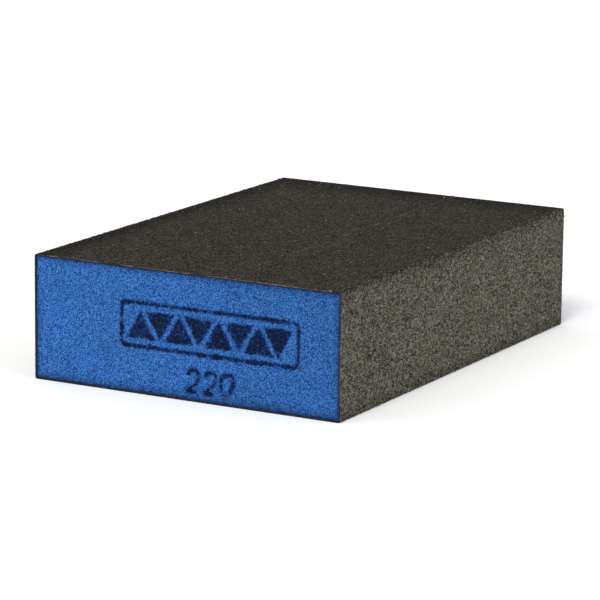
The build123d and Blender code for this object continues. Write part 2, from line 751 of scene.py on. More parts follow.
@dataclass(frozen=True)
class InkOutline:
    """The outline of one of the stamp's ink nodes on the printed end, as straight segments."""

    starts: np.ndarray
    ends: np.ndarray

    @classmethod
    def from_node(cls, node: bpy.types.Object) -> "InkOutline":
        """Finds the edges that only one of the node's front triangles has.

        Args:
            node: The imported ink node.

        Returns:
            The outline, in mm across and up.
        """
        front_facing, digits = -0.9, 4
        seen: dict[frozenset, tuple] = {}
        for face in node.data.polygons:
            if face.normal.y > front_facing:
                continue
            corners = [node.data.vertices[number].co / MM for number in face.vertices]
            spots = [(round(corner.x, digits), round(corner.z, digits)) for corner in corners]
            for start, end in zip(spots, spots[1:] + spots[:1]):
                key = frozenset((start, end))
                if key in seen:
                    del seen[key]
                else:
                    seen[key] = (start, end)
        pairs = np.array(list(seen.values()))
        return cls(pairs[:, 0], pairs[:, 1])

    def distance(self, across: np.ndarray, up: np.ndarray) -> np.ndarray:
        """How far inside the outline each place is, in mm, and less than 0 outside it."""
        nearest = np.full(across.shape, np.inf)
        inside = np.zeros(across.shape, bool)
        for (x0, z0), (x1, z1) in zip(self.starts, self.ends):
            dx, dz = x1 - x0, z1 - z0
            share = ((across - x0) * dx + (up - z0) * dz) / (dx * dx + dz * dz)
            share = np.clip(share, 0, 1)
            reach = np.hypot(across - x0 - share * dx, up - z0 - share * dz)
            nearest = np.minimum(nearest, reach)
            if z0 != z1:
                crossing = x0 + (up - z0) / dz * dx
                inside ^= ((z0 > up) != (z1 > up)) & (across < crossing)
        return np.where(inside, nearest, -nearest)


@dataclass
class FoamCore:
    """The firm foam block, with its cells cut open at both ends."""

    sizes: BlockSizes
    outlines: list[InkOutline]
    finish: CutFoamFinish = field(default_factory=CutFoamFinish)
    step: float = 0.16
    pit_depth: float = 0.14
    pit_walls: Range = (0.15, 0.65)
    pit_dark: float = 0.9
    shallowest: float = 0.4
    void_size: float = 0.9
    void_share: float = 0.025
    void_depth: float = 0.1
    void_walls: Range = (0.1, 0.55)
    void_dark: float = 0.5
    strand_size: float = 0.24
    strand_depth: float = 0.05
    rim_width: float = 0.75
    rim_shade: float = 0.8
    rim_fade: float = 2.2
    rim_band_shade: float = 0.32
    floor_shade: float = 0.16
    base_fade: float = 3.0
    right_shade: float = 0.16
    rim_sway: float = 0.13
    rim_sway_size: float = 0.4
    rim_depth: float = 0.06
    rim_roughness: float = 0.3
    halo_width: float = 0.35
    halo_strength: float = 0.5
    halo_sway_size: float = 0.5
    printed_seed: int = 11
    plain_seed: int = 47
    rim_seed: int = 29
    halo_seed: int = 71

    def __post_init__(self) -> None:
        """Lays the grid that both ends share, with its corners drawn in to the core's rounding."""
        sizes = self.sizes
        half_width = sizes.width / 2 - sizes.coat_depth
        half_height = sizes.height / 2 - sizes.coat_depth
        self.columns = round(2 * half_width / self.step)
        self.rows = round(2 * half_height / self.step)
        across = np.linspace(-half_width, half_width, self.columns + 1)
        up = np.linspace(-half_height, half_height, self.rows + 1)
        across, up = np.meshgrid(across, up, indexing="ij")
        self.rim = np.minimum(half_width - abs(across), half_height - abs(up))
        radius = sizes.edge_radius - sizes.coat_depth
        corner_across = abs(across) - (half_width - radius)
        corner_up = abs(up) - (half_height - radius)
        in_corner = (corner_across > 0) & (corner_up > 0)
        reach = np.maximum(np.hypot(corner_across, corner_up), 1e-9)
        pull = np.where(in_corner, np.maximum(corner_across, corner_up) / reach, 1)
        self.across = np.where(
            in_corner, np.sign(across) * (half_width - radius + corner_across * pull), across
        )
        self.up = sizes.height / 2 + np.where(
            in_corner, np.sign(up) * (half_height - radius + corner_up * pull), up
        )
        self.printed = self.relief(self.printed_seed)
        self.plain = self.relief(self.plain_seed)

    def relief(self, seed: int) -> tuple[np.ndarray, np.ndarray]:
        """How deep each grid point of a cut end lies, in mm, and how much of a pit it is in."""
        across, up = self.across, self.up
        cell, share = CellPattern(self.finish.cell, seed).read(across, up)
        void, void_share = CellPattern(self.void_size, seed + Draw.VOIDS).read(across, up)
        strands = soft_noise(across, up, self.strand_size, seed + Draw.GRAIN)
        cell_depth = self.shallowest + (1 - self.shallowest) * share
        pits = smooth_step(*self.pit_walls, cell) * cell_depth
        voids = smooth_step(*self.void_walls, void) * (void_share < self.void_share)
        rim = 1 - smooth_step(0, self.rim_width, self.rim)
        depth = self.pit_depth * pits + self.void_depth * voids
        depth += self.strand_depth * (strands + 1) / 2
        inner = smooth_step(0, 2 * self.step, self.rim)
        evenness = self.rim_roughness + (1 - self.rim_roughness) * inner
        depth = depth * evenness + self.rim_depth * rim
        # The pit share sets the painted shade in the cells and voids.
        return depth, np.clip(self.pit_dark * pits + self.void_dark * voids, 0, 1)

    def depth_at(self, across: np.ndarray, up: np.ndarray) -> np.ndarray:
        """How deep the printed end lies at places well away from its rim, between grid points."""
        column = (across - self.across[0, self.rows // 2]) / self.step_across
        row = (up - self.up[self.columns // 2, 0]) / self.step_up
        i, j = np.floor(column).astype(int), np.floor(row).astype(int)
        right, above = column - i, row - j
        depth = self.printed[0]
        low = depth[i, j] * (1 - right) + depth[i + 1, j] * right
        high = depth[i, j + 1] * (1 - right) + depth[i + 1, j + 1] * right
        return low * (1 - above) + high * above

    @property
    def step_across(self) -> float:
        """The grid's step across the end."""
        return (self.across[-1, self.rows // 2] - self.across[0, self.rows // 2]) / self.columns

    @property
    def step_up(self) -> float:
        """The grid's step up the end."""
        middle = self.columns // 2
        return (self.up[middle, -1] - self.up[middle, 0]) / self.rows

    def halo(self) -> np.ndarray:
        """How much ink has crept into the foam at each grid point of the printed end."""
        creep = np.zeros(self.across.shape)
        sway = soft_noise(self.across, self.up, self.halo_sway_size, self.halo_seed)
        fade = sway * self.halo_width / 2
        for outline in self.outlines:
            outside = -outline.distance(self.across, self.up)
            creep = np.maximum(creep, 1 - smooth_step(0, self.halo_width, outside + fade))
        return creep * self.halo_strength

    def edge(self, right_shade: float) -> np.ndarray:
        """How dark each grid point of a cut end is painted: resin stain and painted shade by the
        coats, and painted shade fading in from the rim, towards the floor and to the right.

        Args:
            right_shade: How much painted shade darkens the end towards its right edge.

        Returns:
            The share of the dark colour, which is greatest next to the coats.
        """
        sway = soft_noise(self.across, self.up, self.rim_sway_size, self.rim_seed)
        sway = self.rim_sway * sway
        # Resin stain and painted shade right next to the coats.
        stain = 1 - smooth_step(0, self.rim_width, self.rim + sway)
        # Painted shade fading in from the rim, along the floor, and towards the right.
        shade = self.rim_band_shade * (1 - smooth_step(0, self.rim_fade, self.rim))
        shade += self.floor_shade * (1 - smooth_step(0, self.base_fade, self.up))
        shade += right_shade * smooth_step(self.across.min(), self.across.max(), self.across)
        return self.rim_shade * stain + shade * (1 - stain)

    def build(self) -> bpy.types.Object:
        """Makes the closed block of foam and dresses it.

        Returns:
            The finished piece.
        """
        count = self.across.size
        numbers = np.arange(count).reshape(self.across.shape)
        end = self.sizes.length / 2
        front = np.stack([self.across, self.printed[0] - end, self.up], axis=-1)
        back = np.stack([self.across, end - self.plain[0], self.up], axis=-1)
        points = np.concatenate([front.reshape(-1, 3), back.reshape(-1, 3)])
        a, b = numbers[:-1, :-1].ravel(), numbers[1:, :-1].ravel()
        c, d = numbers[1:, 1:].ravel(), numbers[:-1, 1:].ravel()
        front_faces = np.stack([a, b, c, d], axis=-1)
        back_faces = np.stack([d, c, b, a], axis=-1) + count
        ring = np.concatenate(
            [numbers[:-1, 0], numbers[-1, :-1], numbers[:0:-1, -1], numbers[0, :0:-1]]
        )
        after = np.roll(ring, -1)
        skirt = np.stack([after, ring, ring + count, after + count], axis=-1)
        quads = np.concatenate([front_faces, back_faces, skirt])
        smooth = np.arange(len(quads)) < 2 * len(front_faces)
        piece = make_object("foam_block", points, quads, smooth)
        stained_and_shaded = np.concatenate([self.edge(self.right_shade).ravel(), self.edge(0.0).ravel()])
        mark(piece, "pit", np.concatenate([self.printed[1].ravel(), self.plain[1].ravel()]))
        mark(piece, "edge", stained_and_shaded)
        mark(piece, "halo", np.concatenate([self.halo().ravel(), np.zeros(count)]))
        piece.data.materials.append(self.finish.material())
        return settle(piece, "foam", "foam_core")


@dataclass
class InkStamp:
    """The stamp's inks, each a thin crust that follows the cut cells of the foam."""

    sizes: BlockSizes
    foam: FoamCore
    ink: bpy.types.Material
    step: float = 0.12
    bleed: float = 0.42
    blotch: float = 0.24
    blotch_size: float = 1.9
    solid_depth: float = 0.4
    pit_loss: float = 1.0
    lost_walls: Range = (0.25, 0.7)
    lost_shares: Range = (0.3, 0.8)
    ragged_sizes: tuple[float, float] = (0.5, 0.26)
    spread: float = 0.08
    thin_width: float = 0.35
    flattest: float = 0.05
    longest_move: float = 0.45
    join_rounds: int = 4
    proud: float = 0.03
    sunk: float = 0.05
    seed: int = 83

    def wetness(
        self, outline: InkOutline, across: np.ndarray, up: np.ndarray, starved: float
    ) -> np.ndarray:
        """How well the ink took at each place.

        Args:
            outline: The ink's outline.
            across: Places across in mm.
            up: Places up in mm.
            starved: How short of ink the stamp was there.

        Returns:
            More than 0 where there is ink.
        """
        inside = np.minimum(outline.distance(across, up), self.solid_depth)
        coarse, fine = self.ragged_sizes
        ragged = soft_noise(across, up, coarse, self.seed)
        ragged = ragged + soft_noise(across, up, fine, self.seed + Draw.RAGGED)
        blotches = self.blotch * soft_noise(across, up, self.blotch_size, self.seed + Draw.BLOTCHES)
        cell, share = CellPattern(self.foam.finish.cell, self.foam.printed_seed).read(across, up)
        lost = self.pit_loss * smooth_step(*self.lost_walls, cell)
        lost = lost * smooth_step(*self.lost_shares, share)
        return inside + self.bleed * ragged / 2 + blotches + self.spread - lost - starved

    def join_corners(self, inked: np.ndarray) -> np.ndarray:
        """Fills one square wherever two inked squares would touch only at a corner."""
        inked = inked.copy()
        for _ in range(self.join_rounds):
            a, b = inked[:-1, :-1], inked[1:, :-1]
            c, d = inked[1:, 1:], inked[:-1, 1:]
            rising = a & c & ~b & ~d
            falling = b & d & ~a & ~c
            inked[1:, :-1] |= rising
            inked[:-1, :-1] |= falling
        return inked

    def build(
        self, name: str, node: str, outline: InkOutline, starved: float
    ) -> bpy.types.Object:
        """Makes one ink's crust and dresses it.

        Args:
            name: The piece's name.
            node: The CAD node that it replaces.
            outline: That node's outline.
            starved: How short of ink the stamp was there.

        Returns:
            The finished piece.
        """
        margin = 3 * self.step
        low, high = (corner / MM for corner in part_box(node))
        across = np.arange(low.x - margin, high.x + margin, self.step)
        up = np.arange(low.z - margin, high.z + margin, self.step)
        across, up = np.meshgrid(across, up, indexing="ij")
        wet = self.wetness(outline, across, up, starved)
        inked = (wet[:-1, :-1] + wet[1:, :-1] + wet[1:, 1:] + wet[:-1, 1:]) > 0
        inked[[0, -1], :] = False
        inked[:, [0, -1]] = False
        inked = self.join_corners(inked)
        around = np.zeros(across.shape, int)
        for i, j in ((0, 0), (1, 0), (1, 1), (0, 1)):
            around[i : i + inked.shape[0], j : j + inked.shape[1]] += inked
        across, up = self.drawn_to_edge(across, up, wet, (around > 0) & (around < 4))
        used = around > 0
        numbers = np.full(across.shape, -1)
        numbers[used] = np.arange(used.sum())
        count = int(used.sum())
        depth = self.foam.depth_at(across[used], up[used]) - self.sizes.length / 2
        top = np.stack([across[used], depth - self.proud, up[used]], axis=-1)
        under = np.stack([across[used], depth + self.sunk, up[used]], axis=-1)
        i, j = np.nonzero(inked)
        front = np.stack(
            [numbers[i, j], numbers[i + 1, j], numbers[i + 1, j + 1], numbers[i, j + 1]], axis=-1
        )
        back = front[:, ::-1] + count
        walls = [self.walls(inked, numbers, count, *side) for side in self.sides()]
        quads = np.concatenate([front, back, *walls])
        smooth = np.arange(len(quads)) < len(front)
        piece = make_object(name, np.concatenate([top, under]), quads, smooth)
        thin = 1 - smooth_step(0.0, self.thin_width, wet[used])
        mark(piece, "thin", np.concatenate([thin, thin]))
        piece.data.materials.append(self.ink)
        return settle(piece, "stamping_ink", node)

    def drawn_to_edge(
        self, across: np.ndarray, up: np.ndarray, wet: np.ndarray, border: np.ndarray
    ) -> tuple[np.ndarray, np.ndarray]:
        """Moves the border's points onto the line where the ink ends.

        Args:
            across: The grid's places across.
            up: The grid's places up.
            wet: How wet each is.
            border: Which of them are on the border.

        Returns:
            The places across and up, with the border's points moved.
        """
        slope_across, slope_up = np.gradient(wet, self.step)
        steepness = np.maximum(slope_across**2 + slope_up**2, self.flattest)
        limit = self.longest_move * self.step
        move_across = np.clip(-wet * slope_across / steepness, -limit, limit)
        move_up = np.clip(-wet * slope_up / steepness, -limit, limit)
        return across + border * move_across, up + border * move_up

    @staticmethod
    def sides() -> tuple[tuple[tuple[int, int], tuple[int, int], tuple[int, int]], ...]:
        """For each side of a square: the next square that way, and the side's two corners."""
        return (
            ((0, -1), (0, 0), (1, 0)),
            ((1, 0), (1, 0), (1, 1)),
            ((0, 1), (1, 1), (0, 1)),
            ((-1, 0), (0, 1), (0, 0)),
        )

    @staticmethod
    def walls(
        inked: np.ndarray,
        numbers: np.ndarray,
        count: int,
        beyond: tuple[int, int],
        start: tuple[int, int],
        end: tuple[int, int],
    ) -> np.ndarray:
        """The thin walls on one side of every inked square that has no inked square beyond it."""
        i, j = np.nonzero(inked)
        bare = ~inked[i + beyond[0], j + beyond[1]]
        i, j = i[bare], j[bare]
        first = numbers[i + start[0], j + start[1]]
        last = numbers[i + end[0], j + end[1]]
        return np.stack([last, first, first + count, last + count], axis=-1)


# ---------------------------------------------------------------- the abrasive coats


class Face(Enum):
    """The four coated faces: the node prefix, whether the coat wraps, whether it is turned."""

    TOP = ("top", False, False)
    BOTTOM = ("bottom", False, True)
    RIGHT = ("right", True, False)
    LEFT = ("left", True, True)

    @property
    def prefix(self) -> str:
        """What the face's CAD nodes start with."""
        return self.value[0]

    @property
    def wraps(self) -> bool:
        """Whether the coat runs round two long edges, as it does on the sides."""
        return self.value[1]

    @property
    def turned(self) -> bool:
        """Whether the coat is its opposite's, turned half round about the block's length."""
        return self.value[2]


@dataclass(frozen=True)
class CoatLine:
    """The line that a coat's outside follows in the block's section, clockwise from the front."""

    place: np.ndarray
    outward: np.ndarray
    travel: np.ndarray

    @classmethod
    def along_flat(cls, sizes: BlockSizes, step: float) -> "CoatLine":
        """The top coat's line, from the left lap to the right one."""
        reach = sizes.flat_half_width
        travel = np.linspace(-reach, reach, round(2 * reach / step) + 1)
        place = np.stack([travel, np.full(travel.shape, sizes.height)], axis=-1)
        outward = np.tile([0.0, 1.0], (len(travel), 1))
        return cls(place, outward, travel)

    @classmethod
    def round_side(cls, sizes: BlockSizes, step: float) -> "CoatLine":
        """The right coat's line: a lap on the top, an edge, the side, an edge and a lap."""
        radius = sizes.edge_radius
        flat = sizes.height / 2 - radius
        turn = radius * math.pi / 2
        lap = sizes.width / 2 - radius - sizes.flat_half_width
        reach = flat + turn + lap
        travel = np.linspace(-reach, reach, round(2 * reach / step) + 1)
        past = np.clip(abs(travel) - flat, 0, turn) / radius
        on_lap = np.clip(abs(travel) - flat - turn, 0, lap)
        across = sizes.width / 2 - radius + radius * np.cos(past) - on_lap
        up = np.minimum(abs(travel), flat) + radius * np.sin(past)
        place = np.stack([across, sizes.height / 2 - np.sign(travel) * up], axis=-1)
        outward = np.stack([np.cos(past), -np.sign(travel) * np.sin(past)], axis=-1)
        return cls(place, outward, travel)

    def turned(self, sizes: BlockSizes) -> "CoatLine":
        """The same line for the opposite face."""
        return CoatLine(np.array([0, sizes.height]) - self.place, -self.outward, self.travel)

    def tangent(self) -> np.ndarray:
        """The way the line runs at each of its points."""
        return np.stack([self.outward[:, 1], -self.outward[:, 0]], axis=-1)


@dataclass(frozen=True)
class CoatRelief:
    """How rough a coat is: the foam's pits that it follows, larger voids, and the grain."""

    cell: float
    cell_depth: float
    void: float
    void_share: float
    void_depth: float
    grain: float
    grain_depth: float
    stretch: float = 1.5
    cell_walls: Range = (0.08, 0.65)
    cell_shares: Range = (0.15, 0.95)
    void_walls: Range = (0.1, 0.6)
    void_dark: float = 0.5
    grain_dark: float = 0.25
    always_bare: float = 0.05

    def read(
        self, travel: np.ndarray, along: np.ndarray, seed: int
    ) -> tuple[np.ndarray, np.ndarray]:
        """Reads the relief.

        Args:
            travel: Places round the block in mm.
            along: Places along the block in mm, of the same shape.
            seed: Which of many such surfaces to read.

        Returns:
            The depth of each place in mm, and how much of a pit it is in, from 0 to 1.
        """
        along = along / self.stretch
        cell, share = CellPattern(self.cell, seed).read(travel, along)
        void, void_share = CellPattern(self.void, seed + Draw.VOIDS).read(travel, along)
        pits = smooth_step(*self.cell_walls, cell) * smooth_step(*self.cell_shares, share)
        voids = smooth_step(*self.void_walls, void) * (void_share < self.void_share)
        grit = (soft_noise(travel, along, self.grain, seed + Draw.GRAIN) + 1) / 2
        depth = self.cell_depth * pits + self.void_depth * voids + self.grain_depth * grit
        # The dark share is painted shade in the pits, the voids and between the grains.
        dark = pits + voids * self.void_dark + grit * self.grain_dark - self.always_bare
        return depth, np.clip(dark, 0, 1)


@dataclass(frozen=True)
class CoatMaterials:
    """What a coat's three pieces are made of."""

    size_coat: bpy.types.Material
    grain: bpy.types.Material
    make_coat: bpy.types.Material


@dataclass
class AbrasiveCoat:
    """The coat on one long face: its make coat, its bed of grains and its size coat.

    The shades are how dark the coat gets at its rim, and over how many mm that fades. The make
    coat's top and proud are a depth or height in mm, and how much its wave adds to that.
    """

    sizes: BlockSizes
    face: Face
    dress: CoatMaterials
    step: float
    seed: int
    grains_per_mm2: float
    grain_width: float
    flat_relief: CoatRelief = CoatRelief(0.6, 0.06, 1.4, 0.02, 0.05, 0.42, 0.07)
    side_relief: CoatRelief = CoatRelief(0.5, 0.15, 1.1, 0.06, 0.06, 0.26, 0.06)
    joint_sway: float = 0.12
    joint_reach: float = 0.4
    joint_sizes: tuple[float, float] = (1.7, 0.5)
    joint_seeds: tuple[int, int] = (31, 37)
    edge_ragged: float = 0.3
    edge_ragged_size: float = 0.7
    edge_blend: float = 0.6
    edge_shade: float = 0.4
    edge_fade: Range = (-2.8, 0.4)
    side_shade: tuple[float, float] = (0.16, 5.0)
    flat_shade: tuple[float, float] = (0.88, 15.0)
    left_pull: float = 1.8
    shade_sway: float = 2.3
    rub_line: float = 8.7
    rub_sway: float = 0.5
    rub_sway_size: float = 9.0
    rub_half_width: float = 0.4
    rub_break: float = 5.0
    rub_grain: float = 0.5
    rub_strength: float = 0.6
    end_burr: float = 0.04
    end_burr_size: float = 0.5
    pit_shelter: float = 0.7
    make_step: float = 0.25
    make_top: tuple[float, float] = (0.04, 0.02)
    make_proud: tuple[float, float] = (0.035, 0.015)
    make_lip: float = 0.15
    make_smear: float = 0.08
    make_smear_sway: float = 0.7
    make_wave_sizes: tuple[float, float] = (0.9, 0.35)
    make_ripple: float = 0.6
    foam_cover: float = 0.015
    lane: float = 10.0
    end_lane: float = 40.0

    def __post_init__(self) -> None:
        """Lays the coat's grid: its line round the block, and its rows along it."""
        self.line = self.line_in_steps(self.step)
        end = self.sizes.length / 2
        self.along = np.linspace(-end, end, round(2 * end / self.step) + 1)

    def line_in_steps(self, step: float) -> CoatLine:
        """The coat's line round the block, before it is turned, with points this far apart."""
        line = CoatLine.round_side if self.face.wraps else CoatLine.along_flat
        return line(self.sizes, step)

    def placed(self, line: CoatLine) -> CoatLine:
        """The line where the face is, turned if the face is."""
        return line.turned(self.sizes) if self.face.turned else line

    def joint_shift(self, travel: np.ndarray, along: np.ndarray) -> np.ndarray:
        """How far the ragged joint between a side coat and a flat one moves each point, in mm.

        Both coats at a joint get the same shift, because it depends only on where along the
        block it is and on which of the four joints it is.
        """
        end = abs(travel).max()
        near = smooth_step(end - self.joint_reach, end, abs(travel))
        joint = self.joint_number(travel)
        waves = [
            soft_noise(along, joint * self.lane, size, seed)
            for size, seed in zip(self.joint_sizes, self.joint_seeds)
        ]
        sway = waves[0] + waves[1] / 2
        side = np.where(joint % 2 == 0, 1.0, -1.0)
        return near * self.joint_sway * sway * side

    def joint_number(self, travel: np.ndarray) -> np.ndarray:
        """Which joint each point is nearest, numbered clockwise from the top left one."""
        first = {Face.TOP: 0, Face.RIGHT: 1, Face.BOTTOM: 2, Face.LEFT: 3}[self.face]
        return np.where(travel < 0, first, (first + 1) % 4)

    def relief(self) -> dict[str, np.ndarray]:
        """The coat's depth in mm and the numbers that its finish reads, for each grid point."""
        travel, along = np.meshgrid(self.line.travel, self.along, indexing="ij")
        depth, pit = self.flat_relief.read(travel, along, self.seed + Draw.FLAT_FACE)
        side = np.zeros(travel.shape)
        edge = np.zeros(travel.shape)
        if self.face.wraps:
            side_depth, side_pit = self.side_relief.read(travel, along, self.seed)
            ragged = soft_noise(travel, along, self.edge_ragged_size, self.seed + Draw.RAGGED)
            past = abs(travel) - (self.sizes.height / 2 - self.sizes.edge_radius)
            past = past + self.edge_ragged * ragged
            side = 1 - smooth_step(0.0, self.edge_blend, past)
            depth = depth + (side_depth - depth) * side
            pit = pit + (side_pit - pit) * side
            edge = self.edge_shade * smooth_step(*self.edge_fade, past)
        depth = np.minimum(depth, self.deepest() - self.foam_cover)
        edge = np.maximum(edge, self.shade(travel, along))
        scuff = self.scuff(travel, along)
        return {"depth": depth, "pit": pit, "side": side, "edge": edge, "scuff": scuff}

    def deepest(self) -> float:
        """How deep the coat's pits may go, so that no foam shows through them."""
        return self.sizes.coat_depth - self.foam_cover

    def shade(self, travel: np.ndarray, along: np.ndarray) -> np.ndarray:
        """How much darker the coat is by its far end and, on the top, by its left edge."""
        share, fade = self.side_shade if self.face.wraps else self.flat_shade
        to_rim = self.sizes.length / 2 - along
        if self.face is Face.TOP:
            to_rim = np.minimum(to_rim, self.left_pull * (travel - travel.min()))
        to_rim = to_rim + soft_noise(travel, along, self.shade_sway, self.seed + Draw.SHADE)
        return share * (1 - smooth_step(0, fade, to_rim))

    def scuff(self, travel: np.ndarray, along: np.ndarray) -> np.ndarray:
        """The faint, broken rub mark that runs lengthwise on the top face."""
        if self.face is not Face.TOP:
            return np.zeros(travel.shape)
        row = np.zeros(along.shape)
        sway = soft_noise(along, row, self.rub_sway_size, self.seed + Draw.RUB_WANDER)
        breaks = soft_noise(along, row, self.rub_break, self.seed + Draw.RUB_BREAK)
        grains = soft_noise(travel, along, self.rub_grain, self.seed + Draw.RUB_GRAIN)
        from_line = abs(travel - (self.rub_line + self.rub_sway * sway))
        near = 1 - smooth_step(0, self.rub_half_width, from_line)
        broken, grainy = smooth_step(0.0, 0.5, breaks), smooth_step(-0.5, 0.5, grains)
        return self.rub_strength * near * broken * grainy

    def build(self) -> None:
        """Makes the coat's three pieces, from the outside in."""
        numbers = self.relief()
        travel, along = np.meshgrid(self.line.travel, self.along, indexing="ij")
        at_end = np.sign(along) * self.end_lane
        burr = 1 - smooth_step(0, self.end_burr_size, self.sizes.length / 2 - abs(along))
        waves = soft_noise(travel, at_end, self.end_burr_size, self.seed + Draw.BURR)
        along = along - np.sign(along) * (burr * self.end_burr * waves)
        shift = self.joint_shift(travel, along)
        prefix = self.face.prefix
        name = f"{prefix}_size_coat_film"
        line = self.placed(self.line)
        depth = numbers.pop("depth")
        size_coat, outside = self.shell(name, line, along, shift, depth, self.sizes.film_depth)
        numbers["grain_site"] = 1 - self.pit_shelter * numbers["pit"]
        for mark_name, outside_values in numbers.items():
            values = np.zeros(len(size_coat.data.vertices))
            values[:outside] = outside_values.ravel()
            # The film's cut edges and inside all get the full painted shade.
            if mark_name == "edge":
                values[outside:] = 1.0
            mark(size_coat, mark_name, values)
        size_coat.data.materials.append(self.dress.size_coat)
        grains = GrainScatter(self.grains_per_mm2, self.grain_width, self.seed).build(
            f"{prefix}_grains", size_coat, self.dress.grain
        )
        make_coat = self.make_coat()
        slot = "side_" if self.face.wraps else ""
        settle(size_coat, f"{slot}size_resin", f"{prefix}_size_coat")
        settle(grains, f"{slot}abrasive_grain", f"{prefix}_grain_bed")
        settle(make_coat, "make_resin", f"{prefix}_make_coat")

    def make_coat(self) -> bpy.types.Object:
        """Makes the film that holds the grain to the foam, whose cut edge shows at both ends."""
        line = self.line_in_steps(self.make_step)
        end = self.sizes.length / 2
        rows = np.array([-end, self.make_lip - end, end - self.make_lip, end])
        travel, along = np.meshgrid(line.travel, rows, indexing="ij")
        at_end = np.sign(along) * self.end_lane
        coarse, fine = self.make_wave_sizes
        ripple = soft_noise(travel, at_end, fine, self.seed + Draw.MAKE_RIPPLE)
        wave = soft_noise(travel, at_end, coarse, self.seed + Draw.MAKE_WAVE)
        wave += self.make_ripple * ripple
        top, top_sway = self.make_top
        proud, proud_sway = self.make_proud
        at_cut = abs(along) == end
        outer = np.where(at_cut, top + top_sway * wave, self.deepest())
        inner = self.sizes.coat_depth + self.make_smear * (1 + self.make_smear_sway * wave)
        stand_out = proud + proud_sway * wave
        along = np.where(at_cut, along + np.sign(along) * stand_out, along)
        shift = np.zeros(travel.shape)
        name = f"{self.face.prefix}_make_coat_film"
        piece, outside = self.shell(name, self.placed(line), along, shift, outer, inner)
        mark(piece, "inward", np.arange(len(piece.data.vertices)) >= outside)
        piece.data.materials.append(self.dress.make_coat)
        return piece

    def shell(
        self,
        name: str,
        line: CoatLine,
        along: np.ndarray,
        shift: np.ndarray,
        outer: np.ndarray,
        inner: float | np.ndarray,
    ) -> tuple[bpy.types.Object, int]:
        """Makes a closed film between two depths under the block's outer surface.

        Args:
            name: The piece's name.
            line: The line round the block that the film follows.
            along: Each grid point's place along the block.
            shift: How far each grid point is moved along the line.
            outer: Each grid point's depth on the outside.
            inner: The depth of the inside, for all or for each grid point.

        Returns:
            The piece, and how many of its points, which come first, are on the outside.
        """
        shape = along.shape
        inner = np.broadcast_to(inner, shape)

        def at_depth(depth: np.ndarray) -> np.ndarray:
            """The grid's points at these depths."""
            section = line.place[:, None] + shift[..., None] * line.tangent()[:, None]
            section = section - depth[..., None] * line.outward[:, None]
            return np.stack([section[..., 0], along, section[..., 1]], axis=-1)

        last_i, last_j = shape[0] - 1, shape[1] - 1
        numbers = np.arange(along.size).reshape(shape)
        ring_mask = np.zeros(shape, bool)
        ring_mask[[0, -1], :] = True
        ring_mask[:, [0, -1]] = True
        inside = np.full(shape, -1)
        inside[ring_mask] = along.size + np.arange(ring_mask.sum())
        points = np.concatenate([at_depth(outer).reshape(-1, 3), at_depth(inner)[ring_mask]])
        outer_faces = np.stack(
            [numbers[:-1, :-1], numbers[1:, :-1], numbers[1:, 1:], numbers[:-1, 1:]], axis=-1
        ).reshape(-1, 4)
        rims = [
            self.rim(numbers[:, 0][::-1], inside[:, 0][::-1]),
            self.rim(numbers[:, last_j], inside[:, last_j]),
            self.rim(numbers[0, :], inside[0, :]),
            self.rim(numbers[last_i, :][::-1], inside[last_i, :][::-1]),
        ]
        strips = np.stack(
            [inside[1:-2, 0], inside[1:-2, last_j], inside[2:-1, last_j], inside[2:-1, 0]], axis=-1
        )
        first = [*inside[0, :], inside[1, last_j], inside[1, 0]]
        last = [inside[last_i - 1, 0], inside[last_i - 1, last_j], *inside[last_i, ::-1]]
        quads = np.concatenate([outer_faces, *rims, strips])
        smooth = np.arange(len(quads)) < len(outer_faces)
        return make_object(name, points, quads, smooth, (first, last)), along.size

    @staticmethod
    def rim(outside: np.ndarray, inside: np.ndarray) -> np.ndarray:
        """The faces between a run of outside points and the inside points under them."""
        return np.stack([outside[:-1], outside[1:], inside[1:], inside[:-1]], axis=-1)


